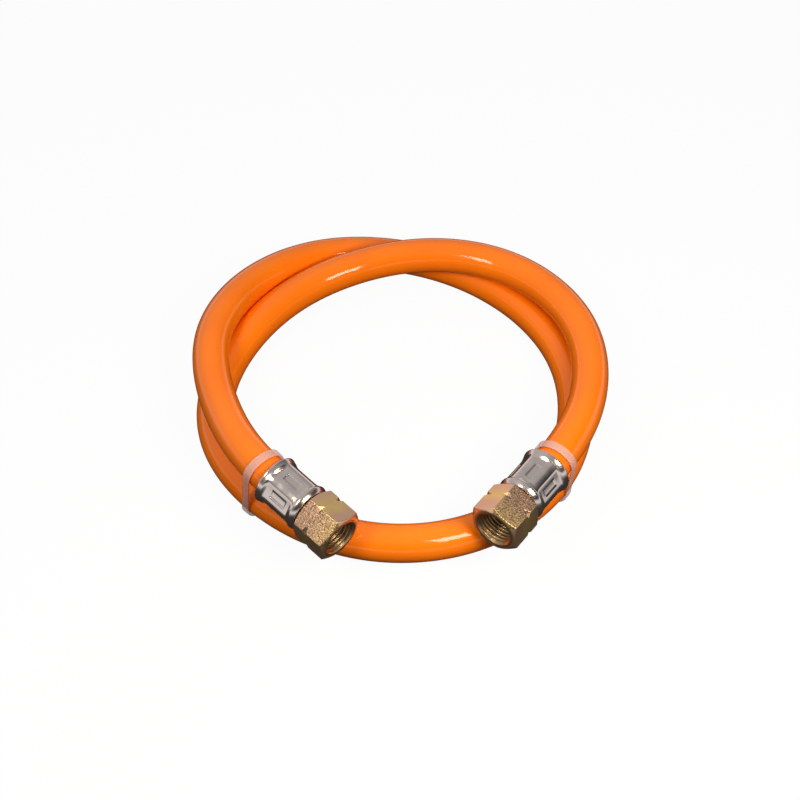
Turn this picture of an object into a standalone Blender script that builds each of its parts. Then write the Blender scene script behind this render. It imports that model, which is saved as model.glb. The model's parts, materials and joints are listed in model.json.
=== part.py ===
"""A medium-pressure gas hose with a crimped swivel fitting on each end, lying loosely coiled.

Blender 4.5 script, in metres, +Z up. The hose lies on the plane z = 0, with the middle of its
outline over the origin. Its left fitting points along +X and its right fitting along -Y.
"""

import math

import bmesh
import bpy
import numpy as np
from mathutils import Euler, Matrix, Vector

MM = 0.001

# General clearances
GAP = 0.3 * MM                    # between pieces that touch on the real hose
FIT_GAP = 0.35 * MM               # between a tie band and the hoses that it holds

# Hose
HOSE_OD = 13.3 * MM
HOSE_WALL = 3.5 * MM
HOSE_STEPS = 80                   # points along the tube
HOSE_SEGMENTS = 12                # sides round it

# Coil. Everything along the route takes its distance from the centre as a share of COIL_RADIUS.
# The level is 0 for the lower turn and 1 on top of the turn below. The tie bands pass under the
# lower turn and lift its front.
COIL_RADIUS = 70.0 * MM
COIL_CENTRE = (-0.9 * MM, 1.4 * MM)
FRONT_BEARING = math.radians(-50)
BAND_REACH = 0.660 * COIL_RADIUS  # how far in front of the centre the bands touch the floor
BACK_REACH = 0.757 * COIL_RADIUS  # how far behind it the lower turn touches the floor
STATIONS = (                      # angle in degrees, share of COIL_RADIUS, level
    (30, 1.0000, 1.03),
    (60, 1.0300, 1.00),
    (90, 1.0057, 1.00),
    (120, 0.9271, 0.90),
    (150, 0.8927, 0.56),
    (180, 0.8785, 0.35),
    (210, 0.9271, 0.00),
    (240, 0.9643, 0.00),
    (270, 0.9686, 0.00),
    (300, 0.9871, 0.00),
    (330, 0.9986, 0.00),
    (360, 0.9886, 0.00),
    (390, 0.9543, 0.00),
    (420, 0.9543, 0.00),
    (450, 0.9857, 0.00),
    (480, 1.0438, 0.10),
    (510, 1.0967, 0.33),
    (540, 1.0524, 0.78),
    (570, 0.9858, 1.04),
    (600, 0.9271, 1.07),
)

# Where the ends lie: how far the middle of each nut stands aside of the turn below it
RIGHT_OVERHANG = 4.5 * MM
LEFT_OVERHANG = 5.4 * MM

# Crimp sleeve, measured from its flared rim, where the hose goes in
SLEEVE_LENGTH = 17.6 * MM
SLEEVE_WALL = 0.85 * MM           # left under a pressed flat
SLEEVE_FRONT_WALL = 1.3 * MM
SLEEVE_SEGMENTS = 48
FLARE_OD = 18.1 * MM
FLARE_LENGTH = 3.4 * MM
FLARE_LIP = 0.5 * MM
RIDGE_HEIGHT = 0.6 * MM           # of the ridges that the crimping jaws leave between the flats
COLLAR_OD = 17.2 * MM
COLLAR_LENGTH = 2.2 * MM
CRIMP_FLATS = 6
CRIMP_BLEND = 1.5 * MM            # length over which a flat runs out
WINDOW_SIZE = (7.0 * MM, 3.4 * MM)
WINDOW_DEPTH = 0.2 * MM

# Union nut, for a G 1/4 left-hand thread
NUT_ACROSS_FLATS = 17.0 * MM
NUT_LENGTH = 14.0 * MM
NUT_CHAMFER = math.radians(30)
NUT_FACE_OD = 16.1 * MM
NUT_BACK_WALL = 3.0 * MM
NUT_SEGMENTS = 48
THREAD_CORE_D = 11.445 * MM       # the crests of the inside thread
THREAD_MOUTH_D = 13.4 * MM
NOTCH_AT = 8.4 * MM               # from the mouth: the groove that marks a left-hand thread
NOTCH_WIDTH = 2.0 * MM
NOTCH_DEPTH = 0.95 * MM
NUT_TO_SLEEVE = 0.5 * MM

# Hose tail
TAIL_BORE = 3.2 * MM
TAIL_SEGMENTS = 24
TAIL_START = 1.2 * MM             # from the sleeve's rim
BARB_COUNT = 4
BARB_DEPTH = 0.4 * MM
COLLAR_THICKNESS = 1.4 * MM
TAIL_COLLAR_OD = 11.2 * MM
SHANK_OD = 8.0 * MM
HEAD_CLEARANCE = 0.4 * MM         # from the thread's crests
HEAD_RIM = 1.8 * MM
HEAD_NOSE = 2.6 * MM
NOSE_OD = 6.0 * MM

# Tie bands round both turns, behind each sleeve
BAND_WIDTH = 3.3 * MM
BAND_THICKNESS = 0.7 * MM
BAND_FROM_SLEEVE = 4.2 * MM
BAND_LEAN = math.radians(7.5)     # away from the sleeve towards the lower turn
BAND_ARC_STEPS = 12

# Worked out from the sizes above
HOSE_RADIUS = HOSE_OD / 2
SLEEVE_BORE = HOSE_RADIUS + GAP
FLAT_RADIUS = SLEEVE_BORE + SLEEVE_WALL
RIDGE_RADIUS = FLAT_RADIUS + RIDGE_HEIGHT
NUT_CORNER_RADIUS = NUT_ACROSS_FLATS / 2 / math.cos(math.radians(30))
NUT_BACK = SLEEVE_LENGTH + NUT_TO_SLEEVE
FITTING_LENGTH = NUT_BACK + NUT_LENGTH
SHANK_HOLE = SHANK_OD / 2 + GAP
TAIL_COLLAR_END = SLEEVE_LENGTH - SLEEVE_FRONT_WALL - GAP
TAIL_COLLAR_START = TAIL_COLLAR_END - COLLAR_THICKNESS
HOSE_INSERT = TAIL_COLLAR_START - GAP
HEAD_START = NUT_BACK + NUT_BACK_WALL + GAP


def hex_to_linear(code):
    """Colour of an sRGB hex code, as Blender's linear values."""
    channels = [int(code[i:i + 2], 16) / 255 for i in (1, 3, 5)]
    linear = [c / 12.92 if c <= 0.04045 else ((c + 0.055) / 1.055) ** 2.4 for c in channels]
    return (*linear, 1.0)


def make_material(name, colour, roughness, metallic=0.0):
    """Principled material of one colour."""
    material = bpy.data.materials.new(name)
    material.use_nodes = True
    shader = material.node_tree.nodes["Principled BSDF"]
    shader.inputs["Base Color"].default_value = hex_to_linear(colour)
    shader.inputs["Roughness"].default_value = roughness
    shader.inputs["Metallic"].default_value = metallic
    return material


def add_object(name, mesh, material=None):
    """Put a mesh in the scene, shaded smooth up to sharp edges."""
    part = bpy.data.objects.new(name, mesh)
    bpy.context.collection.objects.link(part)
    mesh.shade_smooth()
    mesh.set_sharp_from_angle(angle=math.radians(30))
    if material:
        mesh.materials.append(material)
    return part


def mesh_from(bm, name):
    """Close a bmesh into a mesh with outward normals."""
    bmesh.ops.recalc_face_normals(bm, faces=bm.faces)
    mesh = bpy.data.meshes.new(name)
    bm.to_mesh(mesh)
    bm.free()
    return mesh


def spin_profile(profile, segments):
    """Bmesh of a closed outline of (x, radius) points, spun once round the X axis.

    The middle of a facet, not an edge, faces along Y.
    """
    bm = bmesh.new()
    ring = [bm.verts.new((x, radius, 0)) for x, radius in profile]
    edges = [bm.edges.new(pair) for pair in zip(ring, ring[1:] + ring[:1])]
    bmesh.ops.spin(
        bm, geom=ring + edges, axis=(1, 0, 0), cent=(0, 0, 0), steps=segments,
        angle=math.tau, use_merge=True,
    )
    bmesh.ops.remove_doubles(bm, verts=bm.verts, dist=1e-7)
    half_step = Matrix.Rotation(math.pi / segments, 3, "X")
    bmesh.ops.rotate(bm, cent=(0, 0, 0), matrix=half_step, verts=bm.verts)
    return bm


def cutter(name, mesh, target, operation="DIFFERENCE"):
    """Cut a target with a mesh in the target's own coordinates."""
    tool = add_object(name, mesh)
    tool.hide_render = True
    tool.display_type = "WIRE"
    tool.matrix_world = target.matrix_world
    cut = target.modifiers.new(name, "BOOLEAN")
    cut.operation = operation
    cut.solver = "EXACT"
    cut.object = tool


def floor_point(bearing, radius):
    """Point under the coil, with the height of the plane that its lower turn lies on."""
    x = radius * math.cos(bearing)
    y = radius * math.sin(bearing)
    forward = x * math.cos(FRONT_BEARING) + y * math.sin(FRONT_BEARING)
    lift = BAND_THICKNESS + FIT_GAP
    height = lift * (forward + BACK_REACH) / (BAND_REACH + BACK_REACH)
    return Vector((COIL_CENTRE[0] + x, COIL_CENTRE[1] + y, height))


def seat_height(overhang, dip):
    """Height of a fitting's axis above that plane, at the sleeve's rim, as it lies on the coil.

    Either the flare rests there, or the back of the nut does, which stands beside the turn
    by the overhang and lower than the rim by the dip.
    """
    flare_seat = HOSE_OD + GAP + FLARE_OD / 2
    reach = HOSE_RADIUS + GAP + NUT_CORNER_RADIUS
    nut_seat = HOSE_RADIUS + math.sqrt(reach ** 2 - overhang ** 2) + NUT_BACK * math.sin(dip)
    return max(flare_seat, nut_seat)


class Fitting:
    """Place of one end fitting: its axis starts at the sleeve's rim and leaves along +X."""

    def __init__(self, side, angle, share, heading, dip, overhang, nut_turn):
        self.side = side
        self.rim = floor_point(math.radians(angle), share * COIL_RADIUS)
        self.rim.z += seat_height(overhang, math.radians(dip))
        self.turn = (0.0, math.radians(dip), math.radians(heading))
        self.nut_turn = math.radians(nut_turn)
        self.axis = Euler(self.turn).to_matrix() @ Vector((1, 0, 0))

    def place(self, part, spin=0.0):
        """Seat an object that is modelled on the fitting's own axis."""
        part.location = self.rim
        part.rotation_euler = (spin, self.turn[1], self.turn[2])


RIGHT = Fitting(
    "right", angle=-3.8, share=1.0243, heading=-86.3, dip=0.4, overhang=RIGHT_OVERHANG,
    nut_turn=36,
)
LEFT = Fitting(
    "left", angle=-85.5, share=0.9914, heading=-3.4, dip=5.9, overhang=LEFT_OVERHANG,
    nut_turn=39,
)


def station_point(angle, share, level):
    """World point of one route station."""
    point = floor_point(math.radians(angle), share * COIL_RADIUS)
    point.z += HOSE_RADIUS + level * (HOSE_OD + GAP)
    return tuple(point)


def smooth_curve(knots, first_slope, last_slope, steps):
    """Points on the cubic spline through the knots that has the given slopes at its ends."""
    chords = np.linalg.norm(np.diff(knots, axis=0), axis=1)
    system = np.eye(len(knots))
    slopes = np.zeros_like(knots)
    slopes[0] = first_slope
    slopes[-1] = last_slope
    for i in range(1, len(knots) - 1):
        before, after = chords[i - 1], chords[i]
        system[i, i - 1:i + 2] = (after, 2 * (before + after), before)
        slopes[i] = 3 * (
            after / before * (knots[i] - knots[i - 1]) + before / after * (knots[i + 1] - knots[i])
        )
    slopes = np.linalg.solve(system, slopes)
    points = []
    for i, chord in enumerate(chords):
        for t in np.arange(steps) / steps:
            points.append(
                (2 * t ** 3 - 3 * t ** 2 + 1) * knots[i]
                + (t ** 3 - 2 * t ** 2 + t) * chord * slopes[i]
                + (3 * t ** 2 - 2 * t ** 3) * knots[i + 1]
                + (t ** 3 - t ** 2) * chord * slopes[i + 1]
            )
    points.append(knots[-1])
    return np.array(points)


def hose_route():
    """Centre line of the hose, from its right tip to its left tip."""
    knots = np.array(
        [tuple(RIGHT.rim)] + [station_point(*station) for station in STATIONS] + [tuple(LEFT.rim)]
    )
    free = smooth_curve(knots, -np.array(RIGHT.axis), np.array(LEFT.axis), steps=40)
    free[:, 2] = np.maximum(free[:, 2], HOSE_RADIUS)
    right_tip = np.array(RIGHT.rim + RIGHT.axis * HOSE_INSERT)
    left_tip = np.array(LEFT.rim + LEFT.axis * HOSE_INSERT)
    return np.vstack([right_tip, free, left_tip])


def at_even_steps(route, count):
    """The route read again at evenly spaced points."""
    travelled = np.concatenate([[0], np.cumsum(np.linalg.norm(np.diff(route, axis=0), axis=1))])
    wanted = np.linspace(0, travelled[-1], count)
    return np.column_stack([np.interp(wanted, travelled, route[:, axis]) for axis in range(3)])


def make_hose(material):
    """The hose itself: a bevelled curve with its wall turned inwards."""
    points = at_even_steps(hose_route(), HOSE_STEPS)
    curve = bpy.data.curves.new("hose", "CURVE")
    curve.dimensions = "3D"
    curve.bevel_depth = HOSE_RADIUS
    curve.bevel_resolution = HOSE_SEGMENTS // 2 - 2
    curve.use_fill_caps = False
    spline = curve.splines.new("POLY")
    spline.points.add(len(points) - 1)
    for spline_point, point in zip(spline.points, points):
        spline_point.co = (*point, 1)
    curve.materials.append(material)
    hose = bpy.data.objects.new("hose", curve)
    bpy.context.collection.objects.link(hose)
    wall = hose.modifiers.new("wall", "SOLIDIFY")
    wall.thickness = HOSE_WALL
    wall.offset = -1
    wall.use_rim = True
    return hose


def blend(value):
    """Smooth step from 0 to 1."""
    value = min(max(value, 0.0), 1.0)
    return value * value * (3 - 2 * value)


def sleeve_profile():
    """Outline of the crimp sleeve: flared rim, waist, and a collar with a turned-in front wall."""
    flare = FLARE_OD / 2
    collar = COLLAR_OD / 2
    collar_start = SLEEVE_LENGTH - COLLAR_LENGTH
    waist_steps = 8
    waist = np.linspace(FLARE_LENGTH, collar_start - CRIMP_BLEND, waist_steps)
    outside = [
        (0, flare - FLARE_LIP / 2),
        (FLARE_LIP / 2, flare),
        (FLARE_LIP * 1.5, flare),
        (FLARE_LIP * 2.5, flare - FLARE_LIP / 2),
        (FLARE_LENGTH * 0.6, (flare + RIDGE_RADIUS) / 2 - FLARE_LIP / 5),
        *[(x, RIDGE_RADIUS) for x in waist],
        (collar_start - CRIMP_BLEND / 3, (RIDGE_RADIUS + collar) / 2),
        (collar_start, collar),
        (collar_start + COLLAR_LENGTH * 0.3, collar),
        (collar_start + COLLAR_LENGTH * 0.7, collar - COLLAR_LENGTH * 0.15),
        (SLEEVE_LENGTH, collar - COLLAR_LENGTH * 0.5),
    ]
    inside = [
        (SLEEVE_LENGTH, SHANK_HOLE),
        (SLEEVE_LENGTH - SLEEVE_FRONT_WALL, SHANK_HOLE),
        (SLEEVE_LENGTH - SLEEVE_FRONT_WALL, SLEEVE_BORE),
        (FLARE_LENGTH * 0.8, SLEEVE_BORE),
        (0, flare - FLARE_LIP * 1.7),
    ]
    return outside + inside


def press_flats(bm):
    """Press the crimping flats into the sleeve's waist, one of them straight up."""
    start = FLARE_LENGTH * 0.6
    end = SLEEVE_LENGTH - COLLAR_LENGTH - CRIMP_BLEND / 3
    pitch = math.tau / CRIMP_FLATS
    for vert in bm.verts:
        radius = math.hypot(vert.co.y, vert.co.z)
        if radius < SLEEVE_BORE + GAP or not start < vert.co.x < end:
            continue
        angle = math.atan2(vert.co.z, vert.co.y) - math.pi / 2
        from_flat = angle - pitch * round(angle / pitch)
        pressed = min(radius, FLAT_RADIUS / math.cos(from_flat))
        depth = blend((vert.co.x - start) / CRIMP_BLEND) * blend((end - vert.co.x) / CRIMP_BLEND)
        scale = 1 + depth * (pressed / radius - 1)
        vert.co.y *= scale
        vert.co.z *= scale


def window_cutter():
    """A shallow block over each flat, which stamps its window."""
    bm = bmesh.new()
    middle = (FLARE_LENGTH + SLEEVE_LENGTH - COLLAR_LENGTH) / 2
    height = RIDGE_HEIGHT + WINDOW_DEPTH
    for index in range(CRIMP_FLATS):
        block = bmesh.ops.create_cube(bm, size=1)["verts"]
        bmesh.ops.scale(bm, vec=(WINDOW_SIZE[0], WINDOW_SIZE[1], height), verts=block)
        lift = FLAT_RADIUS - WINDOW_DEPTH + height / 2
        bmesh.ops.translate(bm, vec=(middle, 0, lift), verts=block)
        turn = Matrix.Rotation(math.tau * index / CRIMP_FLATS, 3, "X")
        bmesh.ops.rotate(bm, cent=(0, 0, 0), matrix=turn, verts=block)
    return mesh_from(bm, "sleeve_windows")


def make_sleeve(fitting, material):
    """Crimp sleeve of one end."""
    bm = spin_profile(sleeve_profile(), SLEEVE_SEGMENTS)
    press_flats(bm)
    sleeve = add_object(f"crimp_sleeve_{fitting.side}", mesh_from(bm, "crimp_sleeve"), material)
    fitting.place(sleeve)
    bpy.context.view_layer.update()
    cutter(f"windows_{fitting.side}", window_cutter(), sleeve)


def tail_profile():
    """Outline of the hose tail: barbs in the hose, a collar, the shank and the sealing head."""
    crest = HOSE_RADIUS - HOSE_WALL - GAP
    valley = crest - BARB_DEPTH
    bore = TAIL_BORE / 2
    pitch = (TAIL_COLLAR_START - TAIL_START) / (BARB_COUNT + 0.5)
    outline = [(TAIL_START, bore), (TAIL_START, valley)]
    for index in range(BARB_COUNT):
        barb = TAIL_START + pitch * (index + 0.8)
        outline += [(barb, crest), (barb + pitch * 0.15, valley)]
    shank = SHANK_OD / 2
    head = THREAD_CORE_D / 2 - HEAD_CLEARANCE
    nose = HEAD_START + HEAD_RIM + HEAD_NOSE
    outline += [
        (TAIL_COLLAR_START, valley),
        (TAIL_COLLAR_START, TAIL_COLLAR_OD / 2),
        (TAIL_COLLAR_END, TAIL_COLLAR_OD / 2),
        (TAIL_COLLAR_END, shank),
        (HEAD_START, shank),
        (HEAD_START, head),
        (HEAD_START + HEAD_RIM, head),
        (nose, NOSE_OD / 2),
        (nose, bore),
    ]
    return outline


def make_tail(fitting, material):
    """Hose tail of one end, which carries its union nut."""
    mesh = mesh_from(spin_profile(tail_profile(), TAIL_SEGMENTS), "hose_tail")
    fitting.place(add_object(f"hose_tail_{fitting.side}", mesh, material))


def hexagon_bar():
    """Hexagon bar of the nut's length, with its corners out along Y and every 60 degrees."""
    bm = bmesh.new()
    corners = []
    for index in range(6):
        angle = math.tau * index / 6
        y, z = NUT_CORNER_RADIUS * math.cos(angle), NUT_CORNER_RADIUS * math.sin(angle)
        corners.append(bm.verts.new((NUT_BACK, y, z)))
    face = bm.faces.new(corners)
    extruded = bmesh.ops.extrude_face_region(bm, geom=[face])["geom"]
    moved = [item for item in extruded if isinstance(item, bmesh.types.BMVert)]
    bmesh.ops.translate(bm, vec=(NUT_LENGTH, 0, 0), verts=moved)
    return mesh_from(bm, "union_nut")


def nut_envelope():
    """Turned shape that chamfers both ends of the nut, cuts its socket and marks its corners."""
    face = NUT_FACE_OD / 2
    outer = NUT_CORNER_RADIUS + GAP
    slope = (outer - face) * math.tan(NUT_CHAMFER)
    notch = FITTING_LENGTH - NOTCH_AT
    notch_bottom = NUT_CORNER_RADIUS - NOTCH_DEPTH
    half_width = NOTCH_WIDTH / 2 * (outer - notch_bottom) / NOTCH_DEPTH
    core = THREAD_CORE_D / 2
    mouth = THREAD_MOUTH_D / 2
    return [
        (NUT_BACK, face),
        (NUT_BACK + slope, outer),
        (notch - half_width, outer),
        (notch, notch_bottom),
        (notch + half_width, outer),
        (FITTING_LENGTH - slope, outer),
        (FITTING_LENGTH, face),
        (FITTING_LENGTH, mouth),
        (FITTING_LENGTH - (mouth - core), core),
        (NUT_BACK + NUT_BACK_WALL, core),
        (NUT_BACK + NUT_BACK_WALL, SHANK_HOLE),
        (NUT_BACK, SHANK_HOLE),
    ]


def make_nut(fitting, material):
    """Union nut of one end, free to turn on its hose tail."""
    nut = add_object(f"union_nut_{fitting.side}", hexagon_bar(), material)
    fitting.place(nut, spin=fitting.nut_turn)
    bpy.context.view_layer.update()
    envelope = mesh_from(spin_profile(nut_envelope(), NUT_SEGMENTS), "nut_envelope")
    cutter(f"nut_envelope_{fitting.side}", envelope, nut, "INTERSECT")


def turn_below(point, across, route):
    """Index of the route's point where the lower turn crosses the plane through a point."""
    offsets = route - np.array(point)
    below = (route[:, 2] < HOSE_OD) & (np.linalg.norm(offsets, axis=1) < 2 * HOSE_OD)
    return np.where(below, np.abs(offsets @ np.array(across)), np.inf).argmin()


def make_band(fitting, material):
    """Tie band: a loop of film drawn tight round both turns behind a sleeve.

    The loop lies in one plane, and each end of it is wrapped along its own turn of hose, so it
    keeps its clearance though the turns cross that plane aslant.
    """
    route = at_even_steps(hose_route(), HOSE_STEPS * 20)
    from_rim = np.linalg.norm(route - np.array(fitting.rim), axis=1)
    behind = (route - np.array(fitting.rim)) @ np.array(fitting.axis) < 0
    wanted = BAND_FROM_SLEEVE + BAND_WIDTH / 2
    index = np.where(behind & (route[:, 2] > HOSE_OD), np.abs(from_rim - wanted), np.inf).argmin()
    away = Vector(route[index + 1] - route[index - 1]).normalized()
    if away.dot(fitting.axis) > 0:
        away.negate()
    across = away + Vector((0, 0, math.tan(BAND_LEAN)))
    index_below = turn_below(route[index], across, route)

    inner = HOSE_RADIUS + FIT_GAP
    outer = inner + BAND_THICKNESS
    bm = bmesh.new()
    rings = []
    for turn, start in ((index, math.pi), (index_below, 0.0)):
        centre = Vector(route[turn])
        along = Vector(route[turn + 1] - route[turn - 1]).normalized()
        if along.dot(away) < 0:
            along.negate()
        side = along.cross(Vector((0, 0, -1))).normalized()
        down = side.cross(along)
        for step in range(BAND_ARC_STEPS + 1):
            angle = start + math.pi * step / BAND_ARC_STEPS
            outward = math.cos(angle) * side + math.sin(angle) * down
            slant = outward.dot(across) / along.dot(across)
            corners = []
            for radius, shift in ((inner, -1), (inner, 1), (outer, 1), (outer, -1)):
                reach = shift * BAND_WIDTH / 2 - slant * radius
                corners.append(bm.verts.new(centre + outward * radius + along * reach))
            rings.append(corners)
    for ring, following in zip(rings, rings[1:] + rings[:1]):
        for k in range(4):
            bm.faces.new((ring[k], ring[(k + 1) % 4], following[(k + 1) % 4], following[k]))
    add_object(f"tie_band_{fitting.side}", mesh_from(bm, "tie_band"), material)


def main():
    """Clear the scene and build every piece."""
    for item in list(bpy.data.objects):
        bpy.data.objects.remove(item)

    rubber = make_material("orange_hose", "#F4741B", 0.35)
    zinc = make_material("zinc_plated_steel", "#A89C94", 0.3, metallic=1.0)
    yellow_zinc = make_material("yellow_zinc_steel", "#B8956C", 0.35, metallic=1.0)
    brass = make_material("turned_brass", "#8E7340", 0.35, metallic=1.0)
    film = make_material("clear_pink_film", "#E9B7A8", 0.3)

    make_hose(rubber)
    for fitting in (RIGHT, LEFT):
        make_tail(fitting, brass)
        make_sleeve(fitting, zinc)
        make_nut(fitting, yellow_zinc)
        make_band(fitting, film)


main()
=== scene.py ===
"""Looks of a coiled medium-pressure gas hose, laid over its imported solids.

Blender 4.5, in metres, +Z up. The hose, its two crimp sleeves, hose tails, union nuts and tie
bands are each made again in full detail in the place of their solid, with the finish of the real
one. Run as a script, it makes every piece and the studio round them.
"""

import json
import math

import bmesh
import bpy
import numpy as np
from bpy.props import FloatProperty, IntProperty, PointerProperty, StringProperty
from bpy.types import Operator, Panel, PropertyGroup
from mathutils import Matrix, Vector


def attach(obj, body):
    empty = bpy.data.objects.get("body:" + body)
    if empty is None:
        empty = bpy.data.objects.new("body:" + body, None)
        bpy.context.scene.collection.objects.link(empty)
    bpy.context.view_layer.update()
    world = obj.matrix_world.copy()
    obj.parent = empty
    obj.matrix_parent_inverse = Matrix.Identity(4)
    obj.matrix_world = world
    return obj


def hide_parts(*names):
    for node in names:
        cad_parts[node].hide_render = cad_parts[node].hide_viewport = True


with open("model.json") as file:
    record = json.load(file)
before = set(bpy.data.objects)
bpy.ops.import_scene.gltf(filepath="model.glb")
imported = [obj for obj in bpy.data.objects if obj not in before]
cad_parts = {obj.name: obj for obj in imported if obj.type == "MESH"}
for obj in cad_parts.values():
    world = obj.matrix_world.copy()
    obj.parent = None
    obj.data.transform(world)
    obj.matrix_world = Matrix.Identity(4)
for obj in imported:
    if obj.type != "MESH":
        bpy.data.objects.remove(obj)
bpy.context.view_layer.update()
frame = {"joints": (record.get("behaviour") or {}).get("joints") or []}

bl_info = {
    "name": "Medium-pressure gas hose",
    "version": (1, 0, 0),
    "blender": (4, 5, 0),
    "location": "3D View > Sidebar > Gas hose",
    "description": "A coiled gas hose with crimped sleeves, union nuts, hose tails and tie bands",
    "category": "Object",
}

MM = 0.001

# The hose's route: knots of its centre line between the two sleeve rims, in metres
ROUTE_KNOTS = (
    (0.05972, 0.03640, 0.02133),
    (0.03515, 0.06384, 0.02054),
    (-0.00090, 0.07180, 0.02024),
    (-0.03335, 0.05760, 0.01878),
    (-0.05506, 0.03268, 0.01410),
    (-0.06245, 0.00124, 0.01156),
    (-0.05708, -0.03108, 0.00705),
    (-0.03465, -0.05706, 0.00743),
    (-0.00090, -0.06640, 0.00773),
    (0.03365, -0.05844, 0.00790),
    (0.05964, -0.03355, 0.00787),
    (0.06830, 0.00140, 0.00765),
    (0.05695, 0.03480, 0.00731),
    (0.03250, 0.05925, 0.00696),
    (-0.00090, 0.07040, 0.00665),
    (-0.03743, 0.06468, 0.00781),
    (-0.06737, 0.03977, 0.01100),
    (-0.07449, 0.00149, 0.01736),
    (-0.06068, -0.03305, 0.02121),
    (-0.03335, -0.05480, 0.02198),
)

# Places along a fitting's own axis, measured from the rim where the hose goes in
NUT_BACK = 18.1 * MM
NUT_LENGTH = 14.0 * MM
HOSE_INSERT = 14.3 * MM
TAIL_START = 1.2 * MM
TAIL_COLLAR = (14.6 * MM, 16.0 * MM)
TAIL_HEAD = 21.4 * MM

# Depths in a nut, measured from its mouth
THREAD_END = 9.0 * MM
SHOULDER = 11.0 * MM

# Other fixed sizes of the fittings and bands
SHANK_HOLE = 4.3 * MM
SOCKET_MOUTH = 6.7 * MM
TAIL_SIDES = 96
BAND_CLEARANCE = 0.35 * MM
BAND_ROUNDING = 0.25 * MM

# How far each nut is turned on its tail, in degrees, where the viewer stands, and the lamps' light
NUT_TURNS = {"right": -24, "left": 39}
VIEW_BEARING = math.radians(-50)
WARM_WHITE = (1.0, 0.94, 0.8)


# Sizes and colours that a user would change

class HoseSizes(PropertyGroup):
    """The hose itself."""

    diameter: FloatProperty(
        name="Outside diameter", description="Outside diameter of the rubber cover",
        default=13.3 * MM, subtype="DISTANCE", unit="LENGTH",
    )
    wall: FloatProperty(
        name="Wall", description="Thickness of the rubber from cover to bore",
        default=3.5 * MM, subtype="DISTANCE", unit="LENGTH",
    )
    rings: IntProperty(
        name="Rings", description="How many rings of faces follow the route", default=420, min=80,
    )
    sides: IntProperty(
        name="Sides", description="How many faces go round the hose", default=56, min=12,
    )
    colour: StringProperty(
        name="Cover colour", description="sRGB hex code of the orange cover", default="#FF7D0A",
    )


class SleeveSizes(PropertyGroup):
    """The crimp sleeves."""

    flats: IntProperty(
        name="Crimp flats", description="How many flats the crimping jaws press", default=6, min=3,
    )
    flat_radius: FloatProperty(
        name="Flat", description="Distance of a pressed flat from the axis",
        default=7.8 * MM, subtype="DISTANCE", unit="LENGTH",
    )
    window_length: FloatProperty(
        name="Window length", description="Length of the shallow window in each flat",
        default=7.0 * MM, subtype="DISTANCE", unit="LENGTH",
    )
    window_width: FloatProperty(
        name="Window width", description="Width of the shallow window in each flat",
        default=3.4 * MM, subtype="DISTANCE", unit="LENGTH",
    )
    window_depth: FloatProperty(
        name="Window depth", description="How deep each window is stamped",
        default=0.3 * MM, subtype="DISTANCE", unit="LENGTH",
    )
    colour: StringProperty(
        name="Zinc colour", description="sRGB hex code of the bright zinc plate", default="#DCCDC3",
    )


class NutSizes(PropertyGroup):
    """The union nuts, for a G 1/4 left-hand thread."""

    across_flats: FloatProperty(
        name="Across flats", description="Spanner size",
        default=17.0 * MM, subtype="DISTANCE", unit="LENGTH",
    )
    face_diameter: FloatProperty(
        name="Face diameter", description="Diameter of the round face that the chamfer leaves",
        default=16.1 * MM, subtype="DISTANCE", unit="LENGTH",
    )
    thread_pitch: FloatProperty(
        name="Thread pitch", description="Distance from crest to crest",
        default=1.337 * MM, subtype="DISTANCE", unit="LENGTH",
    )
    thread_root: FloatProperty(
        name="Thread root diameter", description="Diameter at the bottom of the inside thread",
        default=13.157 * MM, subtype="DISTANCE", unit="LENGTH",
    )
    thread_crest: FloatProperty(
        name="Thread crest diameter", description="Diameter between the crests of the thread",
        default=11.445 * MM, subtype="DISTANCE", unit="LENGTH",
    )
    notch_from_mouth: FloatProperty(
        name="Notch", description="Distance of the left-hand mark from the mouth",
        default=8.4 * MM, subtype="DISTANCE", unit="LENGTH",
    )
    colour: StringProperty(
        name="Chromate colour", description="sRGB hex code of the yellow chromate",
        default="#FFDB8E",
    )
    second_colour: StringProperty(
        name="Chromate tint", description="sRGB hex code of the pink tint in the chromate",
        default="#F4C6A6",
    )


class TailSizes(PropertyGroup):
    """The hose tails."""

    bore: FloatProperty(
        name="Gas way", description="Diameter of the hole through the tail",
        default=3.2 * MM, subtype="DISTANCE", unit="LENGTH",
    )
    barbs: IntProperty(name="Barbs", description="How many barbs hold the hose", default=4, min=1)
    colour: StringProperty(
        name="Brass colour", description="sRGB hex code of the turned brass", default="#A8854A",
    )


class BandSizes(PropertyGroup):
    """The tie bands."""

    width: FloatProperty(
        name="Width", description="Width of the film",
        default=3.3 * MM, subtype="DISTANCE", unit="LENGTH",
    )
    thickness: FloatProperty(
        name="Thickness", description="Thickness of the film",
        default=0.7 * MM, subtype="DISTANCE", unit="LENGTH",
    )
    behind_rim: FloatProperty(
        name="Behind the rim", description="Distance of the band's middle from the sleeve's rim",
        default=5.85 * MM, subtype="DISTANCE", unit="LENGTH",
    )
    lean: FloatProperty(
        name="Lean", description="How far the band leans back from the sleeve as it goes down",
        default=math.radians(7.5), subtype="ANGLE", unit="ROTATION",
    )
    colour: StringProperty(
        name="Film colour", description="sRGB hex code of the film", default="#EDBBAC",
    )


GROUPS = {
    "hose_sizes": HoseSizes,
    "sleeve_sizes": SleeveSizes,
    "nut_sizes": NutSizes,
    "tail_sizes": TailSizes,
    "band_sizes": BandSizes,
}


# Small tools

def fill(tree, node, inputs):
    """Link or set each of a node's named inputs."""
    for key, value in inputs.items():
        if isinstance(value, bpy.types.NodeSocket):
            tree.links.new(value, node.inputs[key])
        else:
            node.inputs[key].default_value = value


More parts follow.
